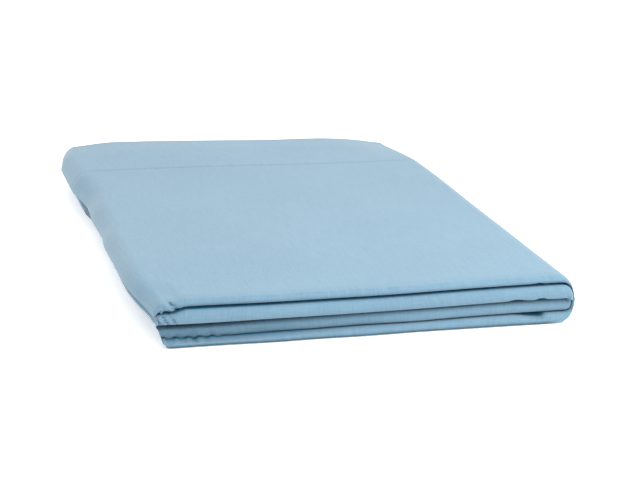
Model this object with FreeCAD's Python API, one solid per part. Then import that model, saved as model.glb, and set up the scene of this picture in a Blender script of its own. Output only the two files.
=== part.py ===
import FreeCAD, Part
import math
import os
from FreeCAD import Vector

# Patient gown, folded flat for the shelf.
#
# The gown is folded in half along its centre front, then in four across its length, then
# once more like a book. +X is towards the spine of the book fold, +Y towards the hem and
# neck ends, +Z up. The origin is under the middle of the packet, on the surface it lies on.
# Each half of the book holds four strips of the gown. Strip 1 is on the outside and carries
# the bottom hem, strip 4 lies at the mouth and carries the neck and shoulders.

# Packet
packet_width = 190.0           # X, from the centre front fold to the spine
packet_depth = 284.0           # Y, one strip of the gown's length
upper_outer_loft = 0.05        # air that keeps strips 1 and 2 apart in the upper half
upper_inner_loft = 1.5         # and strips 3 and 4
lower_inner_loft = 0.45        # strips 3 and 4 in the lower half
lower_outer_loft = 0.1         # and strips 1 and 2
mouth_gap = 0.4                # air between the two halves
lower_inset = 8.0              # the side seams stop short of the centre front fold
outer_setback = 1.5            # strips 1 and 2 fold this far behind strips 3 and 4
back_setback = 4.0             # the fold between strips 2 and 3, in from the hem
shoulder_setback = 7.0         # the shoulder end of strip 4, in from the hem

# Cloth
cloth = 0.2
layer_gap = 0.06               # air between layers that lie close, such as a hem and its panel
strip_gap = 0.1                # the least air between one strip and the next
spine_gap = 0.15               # air between the outer cloth of the spine and what it wraps

# Hem, seams and threads
hem_depth = 66.0
hem_thread_width = 0.5
hem_thread_sunk = 0.08
hem_thread_margin = 3.0
seam_width = 0.6
centre_back_gap = 2.5          # from the centre front fold to the centre back edges

# Neck and armholes, each a quarter ellipse in strip 4
neck_half_width = 82.0
neck_drop = 76.0
binding_width = 6.0
armhole_width = 118.0
armhole_depth = 214.0

# Sleeves, laid in over the back of the gown
sleeve_shoulder_margin = 24.0  # forward of the shoulder end
sleeve_fold_margin = 12.0      # behind the fold between strips 3 and 4
sleeve_side_margin = 6.0       # from the side seams
sleeve_spine_margin = 26.0     # from where the spine begins to turn

# Ties and label
tie_width = 12.0
tie_fold_margin = 26.0         # the doubled end, behind the fold between strips 3 and 4
tie_side_margin = 5.0
tie_spacing = 18.0
neck_tie_start = 14.0          # forward of the neck binding
waist_from_back_fold = 20.0
label_width = 34.0
label_length = 26.0
label_side_margin = 46.0
label_from_binding = 40.0

# Worked out from the sizes above
left_edge = -packet_width / 2
right_edge = packet_width / 2
front_edge = -packet_depth / 2
back_edge = packet_depth / 2
sleeve_thickness = 2 * cloth
hem_room = cloth + 2 * layer_gap


class Half:
    """One half of the book fold, with its strips' levels and its folds' places."""

    def __init__(self, outward, filling, inner_loft, outer_loft, left):
        self.outward = outward
        self.left = left
        middle_room = filling + 3 * layer_gap
        self.stack = middle_room + 4 * cloth + 2 * hem_room
        self.back_offset = (middle_room + cloth) / 2
        self.front_offset = self.back_offset + cloth + hem_room
        inner_pitch = self.stack + strip_gap + inner_loft
        outer_pitch = self.stack + strip_gap + outer_loft
        self.level = {4: mouth_gap / 2 + self.stack / 2}
        self.level[3] = self.level[4] + inner_pitch
        self.level[2] = self.level[3] + (inner_pitch + outer_pitch) / 2
        self.level[1] = self.level[2] + outer_pitch
        self.height = self.level[1] + self.stack / 2
        self.outer_fold = front_edge + outer_setback + self.fold_reach(1, 2)
        self.inner_fold = front_edge + self.fold_reach(3, 4)
        self.back_fold = back_edge - back_setback - self.fold_reach(2, 3)
        self.shoulder = back_edge - shoulder_setback
        self.spine_centre = right_edge - self.height

    def fold_reach(self, strip, next_strip):
        """How far a fold stands out from its centre, with all its layers."""
        return (self.level[strip] - self.level[next_strip]) / 2 + self.stack / 2

    def z(self, height):
        """The height above the table of a level that is counted from the mouth."""
        return lower.height + self.outward * height


upper = Half(1, 2 * cloth, upper_inner_loft, upper_outer_loft, left_edge)
lower = Half(-1, 2 * sleeve_thickness, lower_inner_loft, lower_outer_loft,
             left_edge + lower_inset)
mouth_height = lower.height


def box(x0, x1, y0, y1, z0, z1):
    """A box between two corners, in any order along Z."""
    low = min(z0, z1)
    return Part.makeBox(x1 - x0, y1 - y0, abs(z1 - z0), Vector(x0, y0, low))


def run_side(runs, thickness, side):
    """The lines and arcs along one side of a folded sheet's profile, from end to end."""
    edges = []
    for index, (y_from, y_to, z) in enumerate(runs):
        way = math.copysign(1, y_to - y_from)
        face = z + side * way * thickness / 2
        end = Vector(0, y_to, face)
        edges.append(Part.LineSegment(Vector(0, y_from, face), end).toShape())
        if index + 1 < len(runs):
            next_face = runs[index + 1][2] - side * way * thickness / 2
            radius = abs(face - next_face) / 2
            middle = Vector(0, y_to + way * radius, (face + next_face) / 2)
            edges.append(Part.Arc(end, middle, Vector(0, y_to, next_face)).toShape())
    return edges


def folded_sheet(runs, thickness, x0, x1):
    """A sheet folded to and fro along Y, with the same profile from x0 to x1."""
    one_side = run_side(runs, thickness, 1)
    other_side = run_side(runs, thickness, -1)
    starts = [side[0].Vertexes[0].Point for side in (one_side, other_side)]
    ends = [side[-1].Vertexes[-1].Point for side in (one_side, other_side)]
    caps = [Part.LineSegment(*starts).toShape(), Part.LineSegment(*ends).toShape()]
    profile = Part.Face(Part.Wire(Part.__sortEdges__(one_side + other_side + caps)))
    return profile.extrude(Vector(x1 - x0, 0, 0)).translated(Vector(x0, 0, 0))


def strip_runs(half, offset, y_start):
    """The four strips of one layer, which lies offset outward of the strips' middles."""
    level = half.level
    return [
        (y_start, half.outer_fold, half.z(level[1] + offset)),
        (half.outer_fold, half.back_fold, half.z(level[2] - offset)),
        (half.back_fold, half.inner_fold, half.z(level[3] + offset)),
        (half.inner_fold, half.shoulder, half.z(level[4] - offset)),
    ]


def hemmed_runs(half, offset):
    """The four strips of one layer, and its hem turned up on the inner side."""
    step = cloth + layer_gap
    turn = back_edge - step / 2 - cloth / 2
    inward = math.copysign(step, offset)
    hem = (back_edge - hem_depth, turn, half.z(half.level[1] + offset - inward))
    return [hem] + strip_runs(half, offset, turn)


def spine_room(half):
    """The room inside the spine's outer cloth, as long as the packet."""
    reach = half.height + 1
    flat = box(left_edge - 1, half.spine_centre, front_edge - 1, back_edge + 1,
               half.z(0), half.z(reach))
    radius = half.height - cloth - spine_gap
    centre = Vector(half.spine_centre, front_edge - 1, mouth_height)
    drum = Part.makeCylinder(radius, packet_depth + 2, centre, Vector(0, 1, 0))
    corner = box(half.spine_centre, right_edge, front_edge - 1, back_edge + 1,
                 half.z(0), half.z(reach))
    return flat.fuse(drum.common(corner)).removeSplitter()


def spine_skin(half):
    """The outer cloth where it turns down the spine to the mouth."""
    outer = half.height
    inner = half.height - cloth
    turn = back_edge - cloth - layer_gap / 2
    depth = turn - half.outer_fold
    centre = Vector(half.spine_centre, half.outer_fold, mouth_height)
    along = Vector(0, 1, 0)
    ring = Part.makeCylinder(outer, depth, centre, along)
    ring = ring.cut(Part.makeCylinder(inner, depth, centre, along))
    quarter = box(half.spine_centre, right_edge, half.outer_fold, turn,
                  half.z(mouth_gap / 2), half.z(outer))
    return ring.common(quarter)


def quarter_ellipse(half, x_reach, y_reach):
    """A quarter ellipse through strip 4, round the corner of its edge and its shoulder end."""
    low = half.z(0)
    high = half.z(half.level[4] + half.stack / 2 + strip_gap / 2)
    major = max(x_reach, y_reach)
    minor = min(x_reach, y_reach)
    direction = Vector(1, 0, 0) if x_reach >= y_reach else Vector(0, 1, 0)
    centre = Vector(half.left, half.shoulder, min(low, high))
    curve = Part.Ellipse(centre, major, minor)
    curve.XAxis = direction
    disc = Part.Face(Part.Wire([curve.toShape()]))
    post = disc.extrude(Vector(0, 0, abs(high - low)))
    return post.common(box(half.left, right_edge, front_edge, half.shoulder, low, high))


def strip_four(half, x0, x1, y0, y1):
    """A box as high as strip 4's layers."""
    level = half.level[4]
    return box(x0, x1, y0, y1, half.z(level - half.stack / 2), half.z(level + half.stack / 2))


def hem_thread(half, x0):
    """The row of stitches that holds the hem, sunk flush in the outer cloth."""
    line = back_edge - hem_depth + hem_thread_margin
    face = half.z(half.height)
    root = half.z(half.height - hem_thread_sunk)
    return box(x0 + 1, half.spine_centre, line - hem_thread_width, line, face, root)


def layer(half, offset, x0):
    """One hemmed layer of the body, from x0 to the inside of the spine."""
    sheet = folded_sheet(hemmed_runs(half, offset), cloth, x0, right_edge)
    return sheet.common(spine_room(half))


def upper_pieces():
    """The middle of the gown: the centre front fold, the centre back edges and the neck."""
    half = upper
    neck = quarter_ellipse(half, neck_half_width + binding_width, neck_drop + binding_width)
    opening = quarter_ellipse(half, neck_half_width, neck_drop)
    fold_end = half.left + cloth
    cap_start = back_edge - cloth - layer_gap / 2
    cap = folded_sheet(strip_runs(half, 0, cap_start), half.stack, half.left, fold_end)
    outer = layer(half, half.front_offset, fold_end)
    inner = layer(half, -half.front_offset, fold_end)
    thread = hem_thread(half, half.left)
    front = outer.fuse([inner, cap, spine_skin(half)]).cut(neck).cut(thread)
    back_edge_x = half.left + centre_back_gap
    right_back = layer(half, half.back_offset, back_edge_x).cut(neck)
    left_back = layer(half, -half.back_offset, back_edge_x).cut(neck)
    bound = strip_four(half, half.left, right_edge, front_edge, half.shoulder)
    pieces = {
        "front_panel_center": front,
        "back_panel_right_center": right_back,
        "back_panel_left_center": left_back,
        "neck_binding": neck.cut(opening).common(bound),
        "hem_thread_center": thread,
    }
    for side, offset in (("right", half.back_offset), ("left", -half.back_offset)):
        runs = strip_runs(half, offset, cap_start)
        edging = folded_sheet(runs, cloth, back_edge_x - seam_width, back_edge_x)
        pieces["back_edge_thread_" + side] = edging.cut(neck)
    return pieces


def tie(level, y_start, y_turn, x0):
    """A tie tape laid forward from y_start to y_turn, and doubled back on itself."""
    half = upper
    step = (cloth + layer_gap) / 2
    runs = [
        (y_start, y_turn, half.z(level + step)),
        (y_turn, y_start, half.z(level - step)),
    ]
    return folded_sheet(runs, cloth, x0, x0 + tie_width)


def tie_pieces():
    """The neck ties in strip 4 and the waist ties in strip 3, between the back panels."""
    half = upper
    neck_start = half.shoulder - neck_drop - binding_width - neck_tie_start
    neck_turn = half.inner_fold + tie_fold_margin
    waist_start = half.back_fold - waist_from_back_fold
    waist_turn = waist_start - (neck_start - neck_turn)
    pieces = {}
    for index, side in enumerate(("right", "left")):
        x0 = half.left + centre_back_gap + tie_side_margin + index * tie_spacing
        pieces["neck_tie_" + side] = tie(half.level[4], neck_start, neck_turn, x0)
        pieces["waist_tie_" + side] = tie(half.level[3], waist_start, waist_turn, x0)
    return pieces


def care_label():
    """The blank label inside the back of the neck."""
    half = upper
    x0 = half.left + label_side_margin
    y1 = half.shoulder - neck_drop - binding_width - label_from_binding
    level = half.level[4]
    return box(x0, x0 + label_width, y1 - label_length, y1,
               half.z(level - cloth / 2), half.z(level + cloth / 2))


def lower_pieces():
    """The two sides of the gown, with the side seams and the armholes."""
    half = lower
    body_left = half.left + seam_width
    armhole = quarter_ellipse(half, armhole_width, armhole_depth)
    seamed = quarter_ellipse(half, armhole_width + seam_width, armhole_depth + seam_width)
    thread = hem_thread(half, body_left)
    outer = layer(half, half.front_offset, body_left)
    pieces = {
        "front_panel_right_side": outer.fuse(spine_skin(half)).cut(seamed).cut(thread),
        "front_panel_left_side": layer(half, -half.front_offset, body_left).cut(seamed),
        "back_panel_right_side": layer(half, half.back_offset, body_left).cut(seamed),
        "back_panel_left_side": layer(half, -half.back_offset, body_left).cut(seamed),
        "hem_thread_side": thread,
    }
    middle = (half.front_offset + half.back_offset) / 2
    width = half.front_offset - half.back_offset + cloth
    start = back_edge - cloth - layer_gap / 2
    for side, offset in (("right", middle), ("left", -middle)):
        seam = folded_sheet(strip_runs(half, offset, start), width, half.left, body_left)
        pieces["side_seam_" + side] = seam.cut(seamed)
        low = half.level[4] - offset - width / 2
        bound = box(half.left, right_edge, front_edge, half.shoulder,
                    half.z(low), half.z(low + width))
        pieces["armhole_seam_" + side] = seamed.cut(armhole).common(bound)
    return pieces


def sleeve_pieces():
    """The two sleeves, each flat and double, between the back panels in strip 4."""
    half = lower
    x0 = half.left + sleeve_side_margin
    x1 = half.spine_centre - sleeve_spine_margin
    y0 = half.inner_fold + sleeve_fold_margin
    y1 = half.shoulder - sleeve_shoulder_margin
    pieces = {}
    for side, way in (("right", -1), ("left", 1)):
        near = half.level[4] + way * layer_gap / 2
        far = near + way * sleeve_thickness
        pieces["sleeve_" + side] = box(x0, x1, y0, y1, half.z(near), half.z(far))
        pieces["sleeve_hem_thread_" + side] = box(
            x0, x1, y0 - seam_width, y0, half.z(near), half.z(far))
    return pieces


def build():
    """Every piece of the gown, by the name of its node."""
    pieces = upper_pieces()
    pieces.update(tie_pieces())
    pieces["care_label"] = care_label()
    pieces.update(lower_pieces())
    pieces.update(sleeve_pieces())
    return pieces


os.makedirs("parts", exist_ok=True)
for name, shape in build().items():
    shape.exportStep("parts/" + name + ".step")
    print(name, len(shape.Solids), shape.isValid(), round(shape.Volume, 1), shape.BoundBox)
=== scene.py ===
"""A patient gown folded to a packet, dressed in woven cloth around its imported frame.

The gown is folded along its centre front, then in four across its length, then like a book.
Every sheet of cloth starts as a flat grid, is folded through the same strips as the frame,
and is then eased a little, so that it lies softly and no two layers cross. The fold is
worked out in millimetres and the meshes are in metres.
"""
import logging
import math
from dataclasses import dataclass, replace
from enum import Enum
from typing import Callable, Sequence

import bmesh
import bpy
import numpy as np
from mathutils import Matrix, Vector


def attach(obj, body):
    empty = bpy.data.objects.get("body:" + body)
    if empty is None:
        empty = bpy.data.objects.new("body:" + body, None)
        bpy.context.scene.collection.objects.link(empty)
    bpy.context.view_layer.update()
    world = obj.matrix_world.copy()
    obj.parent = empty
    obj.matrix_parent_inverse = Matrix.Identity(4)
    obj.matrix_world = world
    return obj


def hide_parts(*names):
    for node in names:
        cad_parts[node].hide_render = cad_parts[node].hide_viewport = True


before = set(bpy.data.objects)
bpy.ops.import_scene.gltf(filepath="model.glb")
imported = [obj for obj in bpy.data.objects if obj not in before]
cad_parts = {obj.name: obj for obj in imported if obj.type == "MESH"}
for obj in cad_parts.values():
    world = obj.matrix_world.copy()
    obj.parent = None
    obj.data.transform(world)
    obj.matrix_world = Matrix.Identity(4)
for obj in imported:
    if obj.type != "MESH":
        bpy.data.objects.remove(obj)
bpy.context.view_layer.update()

MM = 0.001
LOG = logging.getLogger("folded_gown")
Array = np.ndarray

CLOTH = 0.2
LAYER_GAP = 0.06
STRIP_GAP = 0.1
MOUTH_GAP = 0.4
FRONT = -142.0
BACK = 142.0
LEFT = -95.0
RIGHT = 95.0
MOUTH = 11.005
HEM = 66.0
SPINE_WIDTH = 0.8
EDGE_WIDTH = 0.75
STITCH_LINE = BACK - HEM + 3.0
HEM_TURN = BACK - 0.23


def ease(start: float, end: float, value: Array) -> Array:
    """A smooth step from 0 at start to 1 at end."""
    share = np.clip((value - start) / (end - start), 0.0, 1.0)
    return share * share * (3.0 - 2.0 * share)


def near(centre: float, reach: float, value: Array) -> Array:
    """A smooth bump of height 1 at centre, and nothing past its reach."""
    return ease(reach, 0.0, np.abs(value - centre))


def ripple(seed: int, x: Array, y: Array, length: float, count: int = 5) -> Array:
    """A soft uneven wave over the cloth, from about -1 to 1.

    Args:
        seed: Which wave.
        x: Places across.
        y: Places along.
        length: The usual length of one wave.
        count: How many plain waves it adds up.

    Returns:
        The wave's height at every place.
    """
    random = np.random.default_rng(seed)
    total = np.zeros(np.broadcast(x, y).shape)
    for _ in range(count):
        angle = random.uniform(0.0, math.tau)
        number = math.tau / (length * random.uniform(0.7, 1.6))
        way = x * math.cos(angle) + y * math.sin(angle)
        total += np.sin(way * number + random.uniform(0.0, math.tau))
    return 0.7 * total / math.sqrt(count)


def at_front(y: Array) -> Array:
    """How near the front folds a place is, from 0 to 1."""
    return ease(-112.0, -136.0, y)


def near_front_left(x: Array, y: Array) -> Array:
    """How near the packet's front left corner a place is, from 0 to 1."""
    return ease(-80.0, -86.5, x) * at_front(y)


def sag(x: Array, y: Array) -> Array:
    """How much the front folds sink together at a place, from 0 to 1."""
    return ease(85.0, 0.0, x) * ease(-80.0, -136.0, y)


class Side(Enum):
    """The wearer's sides: 1 for the layers nearer the outside of a strip."""

    RIGHT = 1
    LEFT = -1

    @property
    def word(self) -> str:
        """The side's name, as it stands in the names of pieces."""
        return self.name.lower()


@dataclass(frozen=True)
class Rows:
    """Stations along the gown's length: where each lies, and how a layer's offset moves it."""

    y: Array
    y_by: Array
    h: Array
    h_by: Array
    v: Array
    inner: Array      # 1 in strips 3 and 4
    end_share: Array  # from 0 to 1 along strip 4
    tuck: Array       # 1 on the turned-up hem

    @staticmethod
    def joined(parts: Sequence["Rows"]) -> "Rows":
        """One run of rows from several, one after another."""
        names = Rows.__dataclass_fields__
        return Rows(*[np.concatenate([getattr(p, n) for p in parts]) for n in names])


@dataclass(frozen=True)
class Columns:
    """Stations across the gown's width."""

    share: Array   # from where the left edge begins to turn, 0, to where the spine does, 1
    curl: Array    # share of the turn at the left edge
    bulge: Array   # past the end of that turn, round a closed fold
    turn: Array    # angle round the spine
    offset: Array  # outward of the strip's middle
    u: Array

    @staticmethod
    def joined(parts: Sequence["Columns"]) -> "Columns":
        """One run of columns from several, one after another."""
        names = Columns.__dataclass_fields__
        return Columns(*[np.concatenate([getattr(p, n) for p in parts]) for n in names])


@dataclass
class Half:
    """One half of the book fold: its strips, its folds and how its cloth lies.

    Heights are counted outwards from the mouth.
    """

    body: str
    outward: int
    filling: float
    inner_loft: float
    outer_loft: float
    left: float
    left_slant: float
    left_curl: tuple[float, float]
    outer_setback: float
    inner_setback: float
    squareness: float
    lip: float
    seed: int

    def __post_init__(self) -> None:
        """Works out the levels and the folds."""
        hem_room = CLOTH + 2 * LAYER_GAP
        middle_room = self.filling + 3 * LAYER_GAP
        self.stack = middle_room + 4 * CLOTH + 2 * hem_room
        self.back_offset = (middle_room + CLOTH) / 2
        self.front_offset = self.back_offset + CLOTH + hem_room
        inner_pitch = self.stack + STRIP_GAP + self.inner_loft
        outer_pitch = self.stack + STRIP_GAP + self.outer_loft
        four = MOUTH_GAP / 2 + self.stack / 2
        three = four + inner_pitch
        two = three + (inner_pitch + outer_pitch) / 2
        self.level = {4: four, 3: three, 2: two, 1: two + outer_pitch}
        self.height = self.level[1] + self.stack / 2
        self.outer_fold = FRONT + self.outer_setback + self.reach(1, 2)
        self.inner_fold = FRONT + self.inner_setback + self.reach(3, 4)
        self.back_fold = BACK - 4.0 - self.reach(2, 3)
        self.shoulder = BACK - 7.0

    def reach(self, strip: int, next_strip: int) -> float:
        """How far a fold stands out from its centre, with all its layers."""
        return (self.level[strip] - self.level[next_strip]) / 2 + self.stack / 2

    def spine_start(self, h: Array) -> Array:
        """Where cloth at height h begins to turn down the spine."""
        return RIGHT - 0.35 * (self.height - h) - SPINE_WIDTH * h

    def curl_angle(self, y: Array, h: Array) -> Array:
        """How far cloth at this place turns down at the left edge."""
        front, back = self.left_curl
        full = front + (back - front) * ease(-142.0, 40.0, y)
        return full * np.clip(h / 8.0, 0.0, 1.0) ** 0.6

    def left_start(self, y: Array, h: Array) -> Array:
        """Where cloth at height h begins to turn down at the left edge."""
        end = self.left + self.left_slant * (self.height - h)
        return end + EDGE_WIDTH * h * np.sin(self.curl_angle(y, h))

    def flat_run(self, strip: int, sign: int, ys: Array) -> Rows:
        """Rows along the flat part of one strip."""
        blank = np.zeros_like(ys)
        inner = np.full_like(ys, float(strip > 2))
        share = (ys - ys[0]) / (ys[-1] - ys[0]) if strip == 4 else blank
        level = np.full_like(ys, self.level[strip])
        return Rows(ys, blank, level, blank + sign, np.abs(ys - ys[0]), inner, share, blank)

    def fold_run(self, strip: int, y: float, way: int, count: int) -> Rows:
        """Rows round the fold between a strip and the next.

        Args:
            strip: The strip that the fold leaves.
            y: The fold's centre.
            way: 1 for a fold at the back, -1 at the front.
            count: How many rows.

        Returns:
            The rows, without the two at the fold's ends.
        """
        angle = np.linspace(0.0, math.pi, count + 2)[1:-1]
        middle = (self.level[strip] + self.level[strip + 1]) / 2
        radius = (self.level[strip] - self.level[strip + 1]) / 2
        ys = y + way * radius * np.sin(angle)
        blank = np.zeros_like(angle)
        inner = ease(0.2, 0.8, angle / math.pi) if way > 0 else blank + float(strip > 2)
        return Rows(ys, np.sin(angle) * -1, middle + radius * np.cos(angle),
                    -way * np.cos(angle), radius * angle, inner, blank, blank)

    def rows(self, ease_hem: float, fine: bool) -> Rows:
        """All rows of a layer, from its turned-up hem to its shoulder end.

        Args:
            ease_hem: How much nearer the strip's middle the hem lies, as a share.
            fine: Whether the layer shows.

        Returns:
            The rows, with their places along the flat cloth.
        """
        count = 2 if fine else 1
        tuck_y = np.linspace(BACK - HEM, HEM_TURN, 5 * count)
        hem = self.flat_run(1, 1, tuck_y)
        hem = Rows(hem.y, hem.y_by, hem.h, hem.h_by * ease_hem, hem.v, hem.inner,
                   hem.end_share, hem.tuck + 1)
        angle = np.linspace(0.0, math.pi, 7)[1:-1]
        blank = np.zeros_like(angle)
        by = (1 + ease_hem) / 2 - (1 - ease_hem) / 2 * np.cos(angle)
        turn = Rows(HEM_TURN + 0.13 * np.sin(angle), blank, blank + self.level[1], by,
                    0.13 * angle, blank, blank, (1 + np.cos(angle)) / 2)
        if fine:
            outside = np.concatenate([
                np.linspace(HEM_TURN, 136.0, 8)[:-1], np.linspace(136.0, 85.0, 14)[:-1],
                np.linspace(85.0, 74.0, 23)[:-1], np.linspace(74.0, -112.0, 34)[:-1],
                np.linspace(-112.0, self.outer_fold, 18)])
        else:
            outside = np.linspace(HEM_TURN, self.outer_fold, 18)
        inside = 14 * count
        four = np.concatenate([np.linspace(self.inner_fold, -118.0, 5 * count)[:-1],
                               np.linspace(-118.0, self.shoulder, 17 * count)])
        parts = [
            hem, turn,
            self.flat_run(1, 1, outside),
            self.fold_run(1, self.outer_fold, -1, 11 * count),
            self.flat_run(2, -1, np.linspace(self.outer_fold, self.back_fold, inside)),
            self.fold_run(2, self.back_fold, 1, 7 * count),
            self.flat_run(3, 1, np.linspace(self.back_fold, self.inner_fold, inside)),
            self.fold_run(3, self.inner_fold, -1, 11 * count),
            self.flat_run(4, -1, four),
        ]
        start = 0.0
        shifted = []
        for part in parts:
            shifted.append(Rows(part.y, part.y_by, part.h, part.h_by, part.v + start,
                                part.inner, part.end_share, part.tuck))
            start += part.v[-1] + 0.1
        return Rows.joined(shifted)

    def across(self, places: Array, offset: float, u_start: float) -> Columns:
        """Columns over the flat of the packet, at these shares of its width."""
        blank = np.zeros_like(places)
        start = self.left_start(0.0, self.level[1])
        width = self.spine_start(self.level[1]) - start
        return Columns(places, blank, blank, blank, blank + offset,
                       u_start + places * width)

    def around_left(self, offset: float, count: int, u_start: float) -> Columns:
        """Columns down the left edge, from the flat to the edge's end."""
        share = np.linspace(0.0, 1.0, count + 1)[1:]
        blank = np.zeros_like(share)
        length = self.curl_angle(0.0, self.level[1]) * self.level[1] * 0.9
        return Columns(blank, share, blank, blank, blank + offset, u_start - share * length)

    def around_spine(self, offset: float, count: int, u_start: float) -> Columns:
        """Columns round the spine, from the flat to the mouth."""
        angle = np.linspace(0.0, math.pi / 2, count + 1)[1:]
        blank = np.zeros_like(angle)
        return Columns(blank + 1, blank, blank, angle, blank + offset,
                       u_start + angle * self.level[1] * 0.9)

    def edge_fold(self, start: float, end: float, count: int, u_start: float) -> Columns:
        """Columns round a closed fold at the left edge, from one offset to another.

        Args:
            start: The offset that the fold leaves.
            end: The offset that it reaches.
            count: How many columns.
            u_start: The flat cloth's place where the fold starts.

        Returns:
            The columns, without the two at the fold's ends.
        """
        angle = np.linspace(0.0, math.pi, count + 2)[1:-1]
        radius = abs(start - end) / 2
        blank = np.zeros_like(angle)
        offset = (start + end) / 2 + (start - end) / 2 * np.cos(angle)
        return Columns(blank, blank + 1, radius * np.sin(angle), blank, offset,
                       u_start - radius * angle)

    def place(self, columns: Columns, rows: Rows, edge_radius: float,
              end: Callable[[Array], Array]) -> Array:
        """Folds a sheet.

        Args:
            columns: Its stations across.
            rows: Its stations along.
            edge_radius: How far in from the left edge its flat part starts.
            end: The place along strip 4 where the cloth is cut, for every place across.

        Returns:
            The points, by column, row and axis.
        """
        offset = columns.offset[:, None]
        h = rows.h + rows.h_by * offset
        y = rows.y + rows.y_by * offset
        start = self.left_start(y, h) + edge_radius + CLOTH / 2
        x = start + columns.share[:, None] * (self.spine_start(h) - start)
        bulge = columns.bulge[:, None] * (1 - 0.28 * rows.tuck)
        reach = self.left + (x - self.left) * (1 - columns.curl[:, None])
        cut = end(reach - bulge)
        y = np.where(rows.end_share > 0,
                     self.inner_fold + rows.end_share * (cut - self.inner_fold), y)
        curl = columns.curl[:, None] * self.curl_angle(y, h)
        x, y, h = self.lay(x, y, h, rows.inner, EDGE_WIDTH * h * np.sin(curl))
        turn = columns.turn[:, None]
        y = y + self.lip * ease(0.4, 1.2, turn) * at_front(y) * (1 - rows.inner)
        square = self.squareness + (0.95 - self.squareness) * ease(6.0, self.height, h)
        x = x + SPINE_WIDTH * h * np.sin(turn) ** square
        x = x - EDGE_WIDTH * h * np.sin(curl) - bulge * np.cos(curl)
        upright = np.clip(np.cos(turn), 0.0, 1.0) ** square
        h = h * upright * np.cos(curl) - bulge * np.sin(curl)
        return np.stack([x, y, MOUTH + self.outward * h], axis=-1)

    def lay(self, x: Array, y: Array, h: Array, inner: Array,
            curled: Array | float = 0.0) -> tuple[Array, ...]:
        """Eases cloth from the ideal fold: the packet's soft corners, folds and hollows.

        Args:
            x: Places across.
            y: Places along.
            h: Heights from the mouth.
            inner: 1 for strips 3 and 4, 0 for strips 1 and 2.
            curled: How far the left edge's turn will carry the cloth on.

        Returns:
            The eased places and heights.
        """
        heights = self.upper_heights if self.outward > 0 else self.lower_heights
        h = heights(x, y, h, inner)
        front = at_front(y)
        back = ease(100.0, BACK, y)
        fold_wave = 0.35 * ripple(self.seed + 4, x, x * 0, 45.0)
        y = y + front * np.where(inner > 0.5, fold_wave, 0.3 - fold_wave)
        y = y - front * (0.9 + 1.2 * ease(60.0, -60.0, x))
        y = y - 0.6 * back * (1 + ripple(self.seed + 5, x, h * 20, 80.0))
        y = y - 3.0 * ease(74.0, 95.0, x) * back
        y = y + front * self.crumple(x - curled, h, inner)
        near_left = ease(self.left + 30.0, self.left + 4.0, x)
        drawn_in = 2.2 * ease(60.0, 95.0, x) * ease(50.0, BACK, y)
        return x - near_left * self.flank(y) - drawn_in, y, h

    def upper_heights(self, x: Array, y: Array, h: Array, inner: Array) -> Array:
        """Eases the heights of the upper half.

        Args:
            x: Places across.
            y: Places along.
            h: Heights from the mouth.
            inner: 1 for strips 3 and 4, 0 for strips 1 and 2.

        Returns:
            The eased heights.
        """
        share = h / self.height
        front = at_front(y)
        edges = 0.5 * ease(118.0, BACK, y) + 0.5 * ease(-133.0, -142.0, y)
        crown = 2.0 * ease(30.0, -50.0, x) * ease(10.0, BACK, y)
        left_droop = 1.8 * ease(-66.0, -94.0, x) * ease(60.0, BACK, y)
        right_droop = 3.6 * ease(36.0, 92.0, x) ** 2 * ease(76.0, BACK, y)
        hem_step = 0.13 * ease(77.5, 80.5, y) * ease(150.0, 100.0, y)
        stitch_dent = 0.06 * near(STITCH_LINE, 1.6, y)
        swell = 0.2 * ripple(self.seed, x, y, 90.0) - edges + crown
        swell = swell - left_droop - right_droop + hem_step - stitch_dent
        h = h - 1.3 * near_front_left(x, y) * ease(0.0, 6.5, h)
        h = h + front * (1 - inner) * 0.6 * near(78.0, 3.2, x) * ease(9.0, 6.0, h)
        open_at = 0.7 * near(67.5, 6.0, x) + 0.8 * near(79.0, 3.6, x)
        h = h + front * inner * open_at * ease(3.0, 0.2, h)
        h = h - 0.9 * sag(x, y)
        h = h + front * 0.7 * near(6.3, 4.0, h)
        return h + share * swell

    def lower_heights(self, x: Array, y: Array, h: Array, inner: Array) -> Array:
        """Eases the heights of the lower half.

        Args:
            x: Places across.
            y: Places along.
            h: Heights from the mouth.
            inner: 1 for strips 3 and 4, 0 for strips 1 and 2.

        Returns:
            The eased heights.
        """
        share = h / self.height
        front = at_front(y)
        swell = -np.abs(0.2 * ripple(self.seed, x, y, 90.0)) * 0.25 - 0.3 * ease(126.0, BACK, y)
        ruffle = ease(-54.0, -70.0, x) * (0.6 + 0.3 * ripple(41, x, x * 0, 9.0))
        wave = ruffle * np.sin(math.tau * x / 5.4) - 0.5 * ease(60.0, 0.0, x)
        wave = wave - 1.3 * ease(5.0, -75.0, x)
        h = h - front * wave * near(5.8, 3.5, h)
        tuck = ease(64.0, 79.0, x) * ease(81.0, 79.3, x)
        h = h + front * (1 - inner) * 1.7 * tuck * ease(9.5, 6.0, h)
        h = h + 0.9 * sag(x, y) * (1 - share)
        h = h + 1.5 * front * inner * ease(0.0, -88.0, x) * ease(4.6, 0.2, h)
        return h + share * swell

    def flank(self, y: Array) -> Array:
        """How far the left edge bulges out, all along the packet.

        Args:
            y: Places along.

        Returns:
            How far out each place moves.
        """
        bulge = 0.8 + 1.9 * ease(-12.0, -40.0, y) * ease(-142.0, -112.0, y)
        bulge = bulge - 2.0 * ease(-92.0, -128.0, y) - 1.7 * near(42.0, 30.0, y)
        bulge = bulge + 1.2 * ease(62.0, 76.0, y) - 2.6 * ease(122.0, 142.0, y)
        if self.outward > 0:
            return bulge + 0.5 * near(-98.0, 45.0, y)
        tucked = 3.4 * ease(-140.0, -126.0, y) * ease(-20.0, -70.0, y)
        return bulge - tucked - 1.6 * near(34.0, 26.0, y)

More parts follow.
